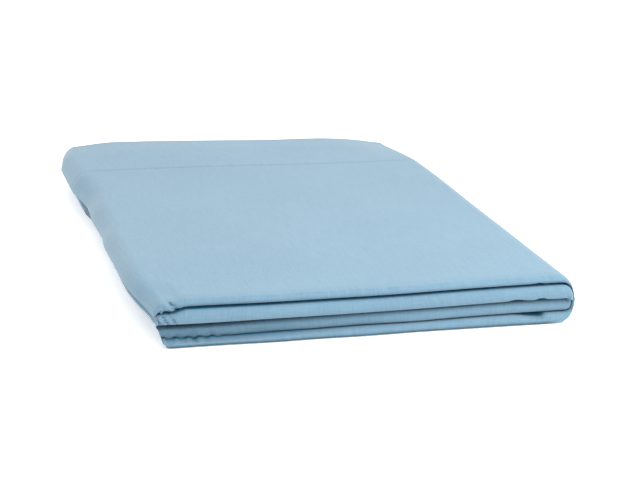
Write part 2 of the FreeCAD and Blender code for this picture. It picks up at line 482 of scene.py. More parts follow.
    def crumple(self, x: Array, h: Array, inner: Array) -> Array:
        """Crumples the rolled edges near the front left corner.

        Args:
            x: Places across, past the left edge's turn.
            h: Heights from the mouth.
            inner: 1 for strips 3 and 4, 0 for strips 1 and 2.

        Returns:
            How far each place is pushed back.
        """
        if self.outward > 0:
            crease = x + 91.0 - 1.25 * (self.height - h)
            fold = 2.2 * near(0.0, 1.7, crease) - 0.8 * near(-2.6, 2.2, crease)
            fold = fold * ease(-82.0, -85.0, x)
            end = ease(-83.0, -87.0, x)
            pocket = 0.8 * near(-88.0, 3.2, x) * near(5.6, 2.4, h)
            pleats = 1.9 * end * (1 - np.abs(np.sin(math.pi * (x + 0.9 * h) / 3.4))) ** 2
            return np.where(inner > 0.5, pocket + pleats, fold)
        ruffles = ease(-60.0, -74.0, x) * ripple(52, x, 0.6 * h, 6.0)
        opened = 2.3 * ease(30.0, -80.0, x) * inner
        return opened + 0.35 * ruffles * near(5.7, 3.0, h)


UPPER = Half("upper_half", 1, 2 * CLOTH, 1.5, 0.05, LEFT - 0.6, 0.22,
             (math.radians(50), math.radians(76)), 1.7, 0.0, 0.85, 0.0, 11)
LOWER = Half("lower_half", -1, 4 * CLOTH, 0.45, 0.1, LEFT + 5.4, -0.36,
             (math.radians(14), math.radians(14)), -0.2, 1.3, 0.5, 1.4, 23)


# ---------------------------------------------------------------- materials


@dataclass(frozen=True)
class Signal:
    """A shader socket that sums can be done with."""

    graph: "Graph"
    socket: bpy.types.NodeSocket

    def _sum(self, operation: str, first: object, second: object) -> "Signal":
        """A maths node on two values."""
        return self.graph.add("ShaderNodeMath", {"operation": operation}, {0: first, 1: second})

    def __add__(self, other: object) -> "Signal":
        """Sum."""
        return self._sum("ADD", self, other)

    def __sub__(self, other: object) -> "Signal":
        """Difference."""
        return self._sum("SUBTRACT", self, other)

    def __rsub__(self, other: object) -> "Signal":
        """Difference from a number."""
        return self._sum("SUBTRACT", other, self)

    def __mul__(self, other: object) -> "Signal":
        """Product."""
        return self._sum("MULTIPLY", self, other)

    def __truediv__(self, other: object) -> "Signal":
        """Quotient."""
        return self._sum("DIVIDE", self, other)

    __radd__ = __add__
    __rmul__ = __mul__

    def wave(self) -> "Signal":
        """Its sine."""
        return self.graph.add("ShaderNodeMath", {"operation": "SINE"}, {0: self})


class Graph:
    """The nodes of one material."""

    def __init__(self, name: str) -> None:
        """Starts a material with no nodes."""
        self.material = bpy.data.materials.new(name)
        self.material.use_nodes = True
        self.tree = self.material.node_tree
        self.tree.nodes.clear()

    def add(self, kind: str, settings: dict[str, object], inputs: dict[object, object],
            output: object = 0) -> Signal | None:
        """Adds a node.

        Args:
            kind: The node's type.
            settings: Its properties, set before its inputs.
            inputs: Values or signals, by the input's name or number.
            output: Which output to return, if it has one.

        Returns:
            The output.
        """
        node = self.tree.nodes.new(kind)
        for name, value in settings.items():
            setattr(node, name, value)
        for key, value in inputs.items():
            if isinstance(value, Signal):
                self.tree.links.new(value.socket, node.inputs[key])
            else:
                node.inputs[key].default_value = value
        return Signal(self, node.outputs[output]) if output is not None else None

    def millimetres(self, place: Signal) -> tuple[Signal, Signal]:
        """The first two parts of a place, in millimetres."""
        split = self.add("ShaderNodeSeparateXYZ", {}, {0: place}, 0)
        return split * 1000.0, Signal(self, split.socket.node.outputs[1]) * 1000.0

    def noise(self, u: object, v: object, detail: float, rough: float = 0.5) -> Signal:
        """Soft noise at a place of the flat cloth, about 0.5."""
        place = self.add("ShaderNodeCombineXYZ", {}, {0: u, 1: v})
        return self.add("ShaderNodeTexNoise", {"noise_dimensions": "2D"},
                        {"Vector": place, "Scale": 1.0, "Detail": detail, "Roughness": rough})

    def mix(self, share: object, first: object, second: object) -> Signal:
        """Blends two colours."""
        return self.add("ShaderNodeMix", {"data_type": "RGBA"},
                        {0: share, 6: first, 7: second}, 2)

    def finished(self, shader: Signal) -> bpy.types.Material:
        """Shows a shader on the surface, and gives the material."""
        self.add("ShaderNodeOutputMaterial", {}, {"Surface": shader}, None)
        return self.material

    def spread(self, value: Signal, low: float, high: float) -> Signal:
        """Stretches a value so that low becomes 0 and high becomes 1, and clips it."""
        return self.add("ShaderNodeMapRange", {"clamp": True},
                        {0: value, 1: low, 2: high, 3: 0.0, 4: 1.0})


    def within(self, value: Signal, start: float, end: float, soft: float) -> Signal:
        """1 where a value lies from start to end, with soft ends."""
        return (self.spread(value, start - soft, start + soft)
                * self.spread(value, end + soft, end - soft))


Colour = tuple[float, float, float, float]


@dataclass(frozen=True)
class WovenCloth:
    """Plain woven cotton and polyester cloth, with slubs along its length.

    Its stretches, in millimetres along the flat cloth, hold painted shade in darker colours on a
    rougher, glossless shader: painted shade in the grooves between folds, a painted shadow on
    the part that it rests on, and painted shade on the lips of the mouth. Its left edge and its
    spine are in millimetres across.
    """

    name: str = "woven_cloth"
    dark: Colour = (0.086, 0.166, 0.230, 1.0)
    light: Colour = (0.125, 0.224, 0.297, 1.0)
    # Painted shade: the next two colours darken the grooves between folds; the two after them
    # are a painted shadow.
    deep: Colour = (0.058, 0.225, 0.345, 1.0)
    shaded: Colour = (0.082, 0.260, 0.390, 1.0)
    under: Colour = (0.010, 0.045, 0.072, 1.0)
    painted_shadow_light: Colour = (0.016, 0.062, 0.095, 1.0)
    # Stretches of painted shade along the flat cloth: in the grooves, as a painted shadow where
    # the cloth rests, and at the mouth.
    grooves: tuple[tuple[float, float], ...] = ()
    contact_shadow: tuple[tuple[float, float], ...] = ()
    mouth: tuple[tuple[float, float], ...] = ()
    edge: float = 0.0
    spine: float = 0.0
    pitch: float = 0.42
    roughness: float = 0.8
    sheen: float = 0.21
    rib: float = 1.0

    def threads(self, g: Graph, u: Signal, v: Signal) -> tuple[Signal, Signal]:
        """Lays the threads of the weave, with its slubs.

        Args:
            g: The material's nodes.
            u: Places across the flat cloth.
            v: Places along it.

        Returns:
            How light the cloth is at each place, from 0 to 1, and how high.
        """
        bend = g.noise(u / 9.0, v / 14.0, 1.0) * 0.6
        ribs = g.noise((u + bend) / 0.55, v / 17.0, 2.0, 0.6)
        slub = g.noise((u + bend) / 0.5, v / 2.6, 2.0, 0.6)
        across = g.noise(u / 7.0, (v + bend) / 0.5, 1.0, 0.5)
        cloud = g.noise(u / 38.0, v / 52.0, 3.0, 0.55)
        step = math.pi / self.pitch
        weave = (u * step).wave() * (v * step).wave()
        tone = g.spread(ribs * 0.36 + slub * 0.34 + across * 0.18 + cloud * 0.12, 0.30, 0.70)
        height = (ribs * 0.08 + slub * 0.05 + across * 0.04) * self.rib
        return tone, height + weave * weave * 0.035

    def make(self) -> bpy.types.Material:
        """Makes the cloth, then lays over it the stretches of painted shade and painted shadow,
        rougher and without gloss.

        Returns:
            The material.
        """
        g = Graph(self.name)
        u, v = g.millimetres(g.add("ShaderNodeUVMap", {"uv_map": "flat"}, {}))
        tone, height = self.threads(g, u, v)
        crease = g.noise(u / 11.0, v / 17.0, 3.0, 0.5) * 0.2
        bump = g.add("ShaderNodeBump", {}, {"Strength": 0.5, "Distance": MM,
                                            "Height": height + crease})
        shader = g.add("ShaderNodeBsdfPrincipled", {}, {
            "Base Color": g.mix(tone, self.dark, self.light), "Roughness": self.roughness,
            "Normal": bump, "Sheen Weight": self.sheen, "Sheen Roughness": 0.45,
            "Specular IOR Level": 0.4})
        if not self.grooves:
            return g.finished(shader)
        # Painted shade for the grooves between folds, darker and more saturated than the cloth.
        folded_in = g.mix(tone, self.deep, self.shaded)
        # Painted shadow, near black, for the part the cloth rests on and for the mouth.
        painted_shadow_colour = g.mix(tone, self.under, self.painted_shadow_light)
        # Where the painted shade and shadow show: the groove shade from the left edge of the
        # shown flat on, the shade at the mouth stronger towards the left, the painted shadow
        # fading before the spine.
        from_left = g.spread(u, self.edge - 4.0, self.edge + 3.0)
        to_left = g.spread(u, self.edge + 135.0, self.edge + 5.0) * 0.5 + 0.2
        to_spine = g.spread(u, self.spine, self.spine - 5.0)
        for stretches, soft, share, hue in ((self.grooves, 0.6, from_left, folded_in),
                                            (self.contact_shadow, 0.6, to_spine, painted_shadow_colour),
                                            (self.mouth, 2.0, to_left, painted_shadow_colour)):
            if stretches:
                # A rough, glossless shader in the painted shade colours, mixed in over each
                # stretch.
                painted_shade_bsdf = g.add("ShaderNodeBsdfPrincipled", {}, {
                    "Base Color": hue, "Roughness": 0.95, "Normal": bump,
                    "Specular IOR Level": 0.0})
                here = sum(g.within(v, *stretch, soft) for stretch in stretches) * share
                shader = g.add("ShaderNodeMixShader", {}, {0: here, 1: shader, 2: painted_shade_bsdf})
        return g.finished(shader)


@dataclass(frozen=True)
class TwistedThread:
    """Sewing thread."""

    name: str = "sewing_thread"
    dark: Colour = (0.060, 0.125, 0.180, 1.0)
    light: Colour = (0.105, 0.200, 0.275, 1.0)

    def make(self) -> bpy.types.Material:
        """The material."""
        g = Graph(self.name)
        place = g.add("ShaderNodeTexCoord", {}, {}, "Object")
        x, y = g.millimetres(place)
        twist = ((x + y) * 9.0).wave() * 0.5 + 0.5
        cloud = g.noise(x / 7.0, y / 7.0, 2.0)
        colour = g.mix(twist * 0.6 + cloud * 0.4, self.dark, self.light)
        bump = g.add("ShaderNodeBump", {}, {"Strength": 0.5, "Distance": 0.1 * MM,
                                            "Height": twist})
        shader = g.add("ShaderNodeBsdfPrincipled", {}, {
            "Base Color": colour, "Roughness": 0.6, "Normal": bump,
            "Sheen Weight": 0.1, "Specular IOR Level": 0.35})
        return g.finished(shader)


@dataclass(frozen=True)
class LabelTape:
    """Close satin tape for a blank label."""

    name: str = "label_tape"
    dark: Colour = (0.70, 0.71, 0.70, 1.0)
    light: Colour = (0.82, 0.83, 0.82, 1.0)

    def make(self) -> bpy.types.Material:
        """The material."""
        g = Graph(self.name)
        place = g.add("ShaderNodeTexCoord", {}, {}, "Object")
        x, y = g.millimetres(place)
        fine = (x * 21.0).wave() * 0.5 + 0.5
        cloud = g.noise(x / 5.0, y / 5.0, 3.0)
        colour = g.mix(fine * 0.4 + cloud * 0.6, self.dark, self.light)
        bump = g.add("ShaderNodeBump", {}, {"Strength": 0.4, "Distance": 0.1 * MM,
                                            "Height": fine})
        shader = g.add("ShaderNodeBsdfPrincipled", {}, {
            "Base Color": colour, "Roughness": 0.45, "Normal": bump,
            "Sheen Weight": 0.1, "Specular IOR Level": 0.4})
        return g.finished(shader)


# How far along the flat cloth, in millimetres, the painted shade reaches into each groove.
GROOVE_DEPTH = 6.0
FRONT_EDGE_U = 1000.0


def cloth_of(half: Half) -> bpy.types.Material:
    """The cloth of one half, with painted shade, darker and rougher, in the grooves between its
    folds.

    Args:
        half: The half of the packet.

    Returns:
        The material.
    """
    rows = half.rows(0.5, True)
    folded_in = rows.v[(rows.h < half.level[2] + 0.02) & (rows.h > half.level[3] - 0.02)]
    late = 0.0 if half is UPPER else 1.0
    first = float(folded_in.min()) + late
    last = float(folded_in.max()) - 0.6 - late / 2
    # The painted groove shade covers the first and the last millimetres of those rows.
    grooves = ((first, first + GROOVE_DEPTH), (last - GROOVE_DEPTH, last))
    bend = float(rows.v[(rows.h == half.level[1]) & (rows.tuck == 0)].max())
    name = "woven_cloth_" + half.body
    if half is UPPER:
        return WovenCloth(name, grooves=grooves, edge=FRONT_EDGE_U).make()
    # The lower half also gets a painted shadow around the front bend where it rests on the
    # floor, and painted shade on the lips of its mouth.
    lips = rows.v[(rows.h > half.level[4]) & (rows.h < half.level[3]) & (rows.y < 0)]
    mouth = (float(lips.max()) - 1.6, float(lips.max()) + 1.5)
    width = float(half.spine_start(half.level[1]) - half.left_start(0.0, half.level[1]))
    return WovenCloth(name, grooves=grooves, contact_shadow=((bend - 4.0, bend + 1.4),),
                      mouth=(mouth,), spine=width).make()


@dataclass(frozen=True)
class Finishes:
    """The gown's finishes; the cloth of each half carries painted shade."""

    cloth: dict[str, bpy.types.Material]
    tape: bpy.types.Material
    thread: bpy.types.Material
    label: bpy.types.Material

    @staticmethod
    def make() -> "Finishes":
        """All of them, new."""
        tape = WovenCloth("woven_tape", pitch=0.5, rib=0.5, roughness=0.8)
        cloth = {half.body: cloth_of(half) for half in (UPPER, LOWER)}
        return Finishes(cloth, tape.make(), TwistedThread().make(), LabelTape().make())


# ---------------------------------------------------------------- meshes


def folded_grid(name: str, points: Array, u: Array, v: Array, thickness: float,
                closed: bool = False) -> bpy.types.Object:
    """A sheet of cloth from a flat grid, moved to its folded places.

    Args:
        name: The piece's name.
        points: The folded places by column, row and axis, in millimetres.
        u: Each column's place across the flat cloth.
        v: Each row's place along the flat cloth.
        thickness: How thick the cloth is.
        closed: Whether the last column meets the first, as in a sleeve.

    Returns:
        The piece, with its flat places as a UV map.
    """
    columns, rows = points.shape[:2]
    bm = bmesh.new()
    bmesh.ops.create_grid(bm, x_segments=columns - 1, y_segments=rows - 1, size=0.5)
    bm.verts.ensure_lookup_table()
    flat = np.array([vert.co[:2] for vert in bm.verts]) + 0.5
    column = np.rint(flat[:, 0] * (columns - 1)).astype(int)
    row = np.rint(flat[:, 1] * (rows - 1)).astype(int)
    layer = bm.loops.layers.uv.new("flat")
    for face in bm.faces:
        for loop in face.loops:
            index = loop.vert.index
            loop[layer].uv = (u[column[index]] * MM, v[row[index]] * MM)
    places = points[column, row] * MM
    for vert, place in zip(bm.verts, places):
        vert.co = place
    if closed:
        bmesh.ops.remove_doubles(bm, verts=bm.verts, dist=1e-6)
    bmesh.ops.recalc_face_normals(bm, faces=bm.faces)
    mesh = bpy.data.meshes.new(name)
    bm.to_mesh(mesh)
    bm.free()
    mesh.shade_smooth()
    piece = bpy.data.objects.new(name, mesh)
    bpy.context.scene.collection.objects.link(piece)
    solid = piece.modifiers.new("cloth", "SOLIDIFY")
    solid.thickness = thickness * MM
    solid.offset = 0.0
    solid.use_even_offset = False
    return piece


@dataclass(frozen=True)
class Cut:
    """A quarter ellipse cut from strip 4, round the left edge and the shoulder end."""

    half: Half
    across: float
    along: float

    def end(self, x: Array) -> Array:
        """Where cloth ends along strip 4, for each place across."""
        share = np.clip((x - self.half.left) / self.across, 0.0, 1.0)
        return self.half.shoulder - self.along * np.sqrt(1.0 - share * share)

    def rim(self, angle: Array) -> tuple[Array, Array]:
        """Places on the ellipse, from the left edge to the shoulder end."""
        x = self.half.left + self.across * np.sin(angle)
        return x, self.half.shoulder - self.along * np.cos(angle)


NECK = Cut(UPPER, 88.0, 82.0)
NECK_OPENING = Cut(UPPER, 82.0, 76.0)
ARMHOLE = Cut(LOWER, 118.6, 214.6)


def spaced(*stops: tuple[float, int]) -> Array:
    """Places along a line, with a count of steps from each stop to the next."""
    runs = [np.linspace(a, b, n + 1)[:-1] for (a, n), (b, _) in zip(stops, stops[1:])]
    return np.concatenate([*runs, [stops[-1][0]]])


class Panel:
    """One layer, or two joined at a closed edge, of one half of the gown's body."""

    def __init__(self, half: Half, name: str, node: str, columns: Columns,
                 edge_radius: float, hem_ease: float, fine: bool, cut: Cut) -> None:
        """Keeps what the panel is made from.

        Args:
            half: The half of the packet that it is in.
            name: The piece's name.
            node: The node that it stands for.
            columns: Its stations across.
            edge_radius: How far in from the left edge its flat part starts.
            hem_ease: How much nearer the strip's middle its hem lies, as a share.
            fine: Whether it shows.
            cut: What is cut from its shoulder end.
        """
        self.half = half
        self.name = name
        self.node = node
        self.columns = columns
        self.edge_radius = edge_radius
        self.rows = half.rows(hem_ease, fine)
        self.cut = cut
        self.piece: bpy.types.Object | None = None

    def build(self) -> bpy.types.Object:
        """Folds the panel, and puts it on its body in place of its node."""
        points = self.half.place(self.columns, self.rows, self.edge_radius, self.cut.end)
        self.piece = folded_grid(self.name, points, self.columns.u, self.rows.v, CLOTH)
        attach(self.piece, self.half.body)
        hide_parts(self.node)
        LOG.info("%s: %d by %d", self.name, *points.shape[:2])
        return self.piece

    def dress(self, finishes: Finishes, goes_with: Sequence[bpy.types.Object]) -> None:
        """Gives the panel its cloth and works out its flat size.

        Args:
            finishes: The gown's finishes.
            goes_with: The small pieces that go with the panel; not used.
        """
        self.piece.data.materials.append(finishes.cloth[self.half.body])
        flat = (np.ptp(self.columns.u) * MM, np.ptp(self.rows.v) * MM)
        cut_off = math.pi / 4 * self.cut.across * self.cut.along * MM * MM
        layers = 2 if np.ptp(self.columns.offset) > 1 else 1
        area = flat[0] * flat[1] - layers * cut_off


SHOWN = spaced((0.0, 14), (0.09, 12), (0.28, 26), (0.40, 14), (0.66, 22), (0.9, 12), (1.0, 0))
HIDDEN = spaced((0.0, 4), (0.1, 8), (0.47, 12), (0.70, 6), (1.0, 0))


def reversed_columns(columns: Columns) -> Columns:
    """The same columns from the other end."""
    names = Columns.__dataclass_fields__
    return Columns(*[getattr(columns, name)[::-1] for name in names])


def mirrored(columns: Columns, u: float) -> Columns:
    """The same columns with their flat places counted the other way from u."""
    return replace(columns, u=2 * u - columns.u)


def front_center() -> Panel:
    """The front panel of the upper half: two layers, joined at the centre front fold."""
    half = UPPER
    offset = half.front_offset
    right = half.across(SHOWN, offset, FRONT_EDGE_U)
    spine = half.around_spine(offset, 12, right.u[-1])
    edge = half.around_left(offset, 14, FRONT_EDGE_U)
    fold = half.edge_fold(offset, -offset, 11, edge.u[-1])
    far_edge = half.around_left(-offset, 6, fold.u[-1])
    far_edge = replace(far_edge, curl=far_edge.curl[::-1])
    left_start = far_edge.u[-1] - 0.2
    left = mirrored(half.across(HIDDEN, -offset, left_start), left_start)
    far_spine = mirrored(half.around_spine(-offset, 6, left.u[-1]), left.u[-1])
    outward = [reversed_columns(p) for p in (far_spine, left, far_edge, fold, edge)]
    columns = Columns.joined([*outward, right, spine])
    ease_hem = 1 - (CLOTH + LAYER_GAP) / offset
    return Panel(half, "gown_front_center", "front_panel_center", columns, 0.0,
                 ease_hem, True, NECK)


def single(half: Half, name: str, node: str, offset: float, edge_radius: float,
           u_start: float, cut: Cut, fine: bool = False) -> Panel:
    """A panel of one layer.

    Args:
        half: The half of the packet that it is in.
        name: The piece's name.
        node: The node that it stands for.
        offset: How far outward of each strip's middle it lies.
        edge_radius: How far in from the left edge its flat part starts.
        u_start: The flat cloth's place at the left edge.
        cut: What is cut from its shoulder end.
        fine: Whether it shows.

    Returns:
        The panel.
    """
    places = SHOWN if fine else HIDDEN
    flat = half.across(places, offset, u_start)
    spine = half.around_spine(offset, 12 if fine else 6, flat.u[-1])
    edge = reversed_columns(half.around_left(offset, 10 if fine else 5, u_start))
    ease_hem = 1 - (CLOTH + LAYER_GAP) / abs(offset)
    return Panel(half, name, node, Columns.joined([edge, flat, spine]), edge_radius,
                 ease_hem, fine, cut)


def panels() -> dict[str, Panel]:
    """Every panel of the gown's body."""
    upper_back = UPPER.back_offset
    return {
        "front_center": front_center(),
        "back_right_center": single(UPPER, "gown_back_right_center",
                                    "back_panel_right_center", upper_back, 2.5, 0.0, NECK),
        "back_left_center": single(UPPER, "gown_back_left_center",
                                   "back_panel_left_center", -upper_back, 2.5, 0.0, NECK),
        "front_right": single(LOWER, "gown_front_right_side", "front_panel_right_side",
                              LOWER.front_offset, 0.6, 0.0, ARMHOLE, True),
        "front_left": single(LOWER, "gown_front_left_side", "front_panel_left_side",
                             -LOWER.front_offset, 0.6, 0.0, ARMHOLE),
        "back_right": single(LOWER, "gown_back_right_side", "back_panel_right_side",
                             LOWER.back_offset, 0.6, 0.0, ARMHOLE),
        "back_left": single(LOWER, "gown_back_left_side", "back_panel_left_side",
                            -LOWER.back_offset, 0.6, 0.0, ARMHOLE),
    }


class Trim:
    """A small piece of the gown: a seam, a binding, a tie, a sleeve, a label or thread."""

    def __init__(self, half: Half, name: str, node: str) -> None:
        """Keeps where it goes."""
        self.half = half
        self.name = name
        self.node = node
        self.piece: bpy.types.Object | None = None

    def keep(self, piece: bpy.types.Object) -> bpy.types.Object:
        """Puts a finished piece on its body in place of its node."""
        self.piece = piece
        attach(piece, self.half.body)
        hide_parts(self.node)
        return piece

    def flat_grid(self, x: Array, y: Array, h: Array, thickness: float,
                  closed: bool = False) -> bpy.types.Object:
        """A piece that lies in strips 3 and 4, from its places and heights.

        Args:
            x: Places across.
            y: Places along.
            h: Heights from the mouth.
            thickness: How thick the piece is.
            closed: Whether its last column meets its first.

        Returns:
            The piece, on its body.
        """
        x, y, h = np.broadcast_arrays(x, y, h)
        x, y, h = self.half.lay(x, y, h, 1.0)
        points = np.stack([x, y, MOUTH + self.half.outward * h], axis=-1)
        steps = [np.linalg.norm(np.diff(points, axis=axis), axis=2) for axis in (0, 1)]
        u = np.concatenate([[0.0], np.cumsum(steps[0].max(axis=1))])
        v = np.concatenate([[0.0], np.cumsum(steps[1].max(axis=0))])
        return self.keep(folded_grid(self.name, points, u, v, thickness, closed))

    def dress(self, material: bpy.types.Material, slot: str) -> None:
        """Gives the piece its finish."""
        self.piece.data.materials.clear()
        self.piece.data.materials.append(material)

    def declare(self, flat: tuple[float, float], rests_on: str,
                goes_with: Sequence[bpy.types.Object] = ()) -> None:
        flat[0] * MM
        flat[1] * MM


class EdgeTrim(Trim):
    """A narrow piece along the left edge of a layer, through all four strips."""

    def build_edging(self, offset: float, edge_radius: float) -> None:
        """Rolls the edge of one layer."""
        share = np.array([0.93, 0.97, 1.0, 1.0])
        bulge = np.array([0.0, 0.0, 0.0, 0.22])
        self.build_columns(share, bulge, np.full(4, offset), edge_radius)

    def build_seam(self, front: float, back: float, edge_radius: float) -> None:
        """Joins a front layer to a back layer round their edges."""
        angle = np.linspace(0.0, math.pi, 7)
        offset = (front + back) / 2 + (front - back) / 2 * np.cos(angle)
        bulge = abs(front - back) / 2 * np.sin(angle)
        self.build_columns(np.ones(7), bulge, offset, edge_radius)

    def build_columns(self, curl: Array, bulge: Array, offset: Array,
                      edge_radius: float) -> None:
        """Folds the trim through the strips.

        Args:
            curl: Share of the turn at the left edge, for each column.
            bulge: How far each column stands past the end of that turn.
            offset: How far outward of each strip's middle each column lies.
            edge_radius: How far in from the left edge the cloth's flat part starts.
        """
        blank = np.zeros_like(curl)
        columns = Columns(blank, curl, bulge, blank, offset, np.arange(len(curl)) * 0.3)
        rows = self.half.rows(1 - (CLOTH + LAYER_GAP) / abs(offset[0]), False)
        cut = NECK if self.half is UPPER else ARMHOLE
        points = self.half.place(columns, rows, edge_radius, cut.end)
        self.keep(folded_grid(self.name, points, columns.u, rows.v, 0.28))


class NeckBinding(Trim):
    """Binding round the neck, on the front panel and on both back panels."""

    def build(self) -> None:
        """Lays the binding along the neckline of each layer."""
        half = self.half
        angle = np.linspace(math.pi / 2, 0.03, 40)
        offset = half.front_offset
        turn = np.linspace(0.0, math.pi, 9)[1:-1]
        rim = np.concatenate([angle, 0 * turn + 0.03, angle[::-1]])
        offsets = np.concatenate([0 * angle + offset, offset * np.cos(turn),
                                  0 * angle - offset])
        bulge = np.concatenate([0 * angle, offset * np.sin(turn), 0 * angle])
        front = self.band(rim, offsets, bulge)
        backs = [self.band(angle, 0 * angle + side * half.back_offset, 0 * angle)
                 for side in (1, -1)]
        bm = bmesh.new()
        for part in [front, *backs]:
            bm.from_mesh(part.data)
            if part is not front:
                bpy.data.objects.remove(part)
        bm.to_mesh(front.data)
        bm.free()
        self.keep(front)

    def band(self, rim: Array, offset: Array, bulge: Array) -> bpy.types.Object:
        """One length of binding, from the panel's edge to the neck opening.

        Args:
            rim: Places round the neck, as angles.
            offset: How far outward of the strip's middle each place lies.
            bulge: How far each place stands past the left edge.

        Returns:
            The length of binding.
        """
        across = np.linspace(0.0, 1.0, 5)
        wide = NECK.across + (NECK_OPENING.across - NECK.across) * across
        deep = NECK.along + (NECK_OPENING.along - NECK.along) * across
        x = self.half.left + 1.8 + wide * np.sin(rim)[:, None] * 0.98 - bulge[:, None]
        y = self.half.shoulder - deep * np.cos(rim)[:, None]
        h = self.half.level[4] - offset[:, None] + 0 * across
        x, y, h = self.half.lay(x, y, h, 1.0)
        points = np.stack([x, y, MOUTH + self.half.outward * h], axis=-1)
        return folded_grid(self.name, points, rim * wide[0], across * 6.0, 0.3)


class ArmholeSeam(Trim):
    """The seam that joins the front and back layers round an armhole."""

    def build(self, side: Side) -> None:
        """Rolls the seam round the armhole of one side.

        Args:
            side: The side.
        """
        half = self.half
        rim = np.linspace(0.02, math.pi / 2 - 0.01, 60)[:, None]
        angle = np.linspace(0.0, math.pi, 7)[None, :]
        middle = side.value * (half.front_offset + half.back_offset) / 2
        radius = (half.front_offset - half.back_offset) / 2
        shrink = radius * np.sin(angle)
        x = half.left + (ARMHOLE.across - shrink) * np.sin(rim)
        y = half.shoulder - (ARMHOLE.along - shrink) * np.cos(rim)
        h = half.level[4] - middle + radius * np.cos(angle) + 0 * rim
        self.flat_grid(x, y, h, 0.26)


class Sleeve(Trim):
    """A sleeve, flat and double, laid in between the back panels."""

    def places(self, side: Side, start: float, end: float, count: int,
               grow: float) -> tuple[Array, Array, Array]:
        """Places round the flat tube of the sleeve, from start to end along the gown.

        Args:
            side: The side.
            start: Where it starts along the packet.
            end: Where it ends.
            count: How many rows.
            grow: How much larger the tube is than the sleeve's own cloth.

        Returns:
            The places across and along, and the heights.
        """
        half = self.half
        x0 = half.left + 6.0 - grow
        x1 = RIGHT - half.height - 26.0 + grow
        run = np.linspace(x0, x1, 26)
        turn = np.linspace(0.0, math.pi, 6)[1:-1]
        radius = 0.1 + grow / 4
        x = np.concatenate([run, x1 + radius * np.sin(turn), run[::-1],
                            x0 - radius * np.sin(turn), run[:1]])
        lift = np.concatenate([0 * run - radius, -radius * np.cos(turn), 0 * run + radius,
                               radius * np.cos(turn), [-radius]])
        middle = half.level[4] - side.value * (LAYER_GAP / 2 + CLOTH)
        y = np.linspace(start, end, count)
        return x[:, None], y[None, :], (middle + lift)[:, None]

    def build(self, side: Side) -> tuple[float, float]:
        """Lays the sleeve flat, and gives the flat size of its cloth."""
        start = self.half.inner_fold - self.half.inner_setback + 12.0
        end = self.half.shoulder - 24.0
        self.flat_grid(*self.places(side, start, end, 30, 0.0), 0.17, True)
        return 2 * (RIGHT - self.half.height - 32.0 - self.half.left), end - start

    def build_hem(self, side: Side) -> None:
        """The stitched end of the sleeve."""
        start = self.half.inner_fold - self.half.inner_setback + 11.4
        self.flat_grid(*self.places(side, start, start + 0.5, 3, 0.1), 0.15, True)


class Tie(Trim):
    """A tie tape, doubled back on itself."""

    def build(self, level: int, start: float, end: float, index: int) -> float:
        """Lays the tie, and gives its length.

        Args:
            level: The strip that it lies in.
            start: Where it starts along the packet.
            end: Where it turns back.
            index: Which of the two ties side by side.

        Returns:
            The length of its tape.
        """
        run = np.linspace(start, end, 24)
        turn = np.linspace(0.0, math.pi, 6)[1:-1]
        y = np.concatenate([run, end - 0.13 * np.sin(turn), run[::-1]])
        lift = np.concatenate([0 * run + 0.13, 0.13 * np.cos(turn), 0 * run - 0.13])
        left = self.half.left + 8.1 + 18.0 * index
        x = left + np.linspace(0.0, 12.0, 7)
        sway = 0.5 * np.sin(y / 31.0 + index)
        self.flat_grid(x[:, None] + sway, y, self.half.level[level] + lift + 0 * x[:, None],
                       0.18)
        return 2 * abs(start - end)


class Label(Trim):
    """A blank label inside the back of the neck."""

    def build(self) -> None:
        """Lays the label flat."""
        x = self.half.left + 46.6 + np.linspace(0.0, 34.0, 18)
        y = self.half.shoulder - 122.0 - np.linspace(26.0, 0.0, 14)
        self.flat_grid(x[:, None], y[None, :], self.half.level[4], 0.16)


class HemStitches(Trim):
    """The row of stitches that holds the bottom hem."""

    pitch: float = 3.0

    def build(self, sunk: float) -> None:
        """Sets one small stitch after another along the hem line.

        Args:
            sunk: How deep the stitches are drawn into the cloth.
        """
        half = self.half
        width = half.spine_start(half.level[1]) - half.left_start(0.0, half.level[1])
        share = np.arange(1.0, width - 1.0, self.pitch) / width
        columns = half.across(share, half.front_offset, 0.0)
        spot = half.flat_run(1, 1, np.array([STITCH_LINE, STITCH_LINE - 1.0]))
        points = half.place(columns, spot, 0.0, NECK.end)[:, 0]
        random = np.random.default_rng(half.seed)
        bm = bmesh.new()
        for x, y, z in points:
            size = Vector((1.0, 0.17, 0.12)) * MM
            lean = Matrix.Rotation(random.normal(0.0, 0.04), 4, "Z")
            z += half.outward * (CLOTH / 2 - sunk)
            place = Matrix.Translation(Vector((x, y, z)) * MM) @ lean @ Matrix.Diagonal(
                (*size, 1.0))
            bmesh.ops.create_icosphere(bm, subdivisions=2, radius=1.0, matrix=place)
        mesh = bpy.data.meshes.new(self.name)
        bm.to_mesh(mesh)
        bm.free()
        mesh.shade_smooth()
        piece = bpy.data.objects.new(self.name, mesh)
        bpy.context.scene.collection.objects.link(piece)
        self.keep(piece)


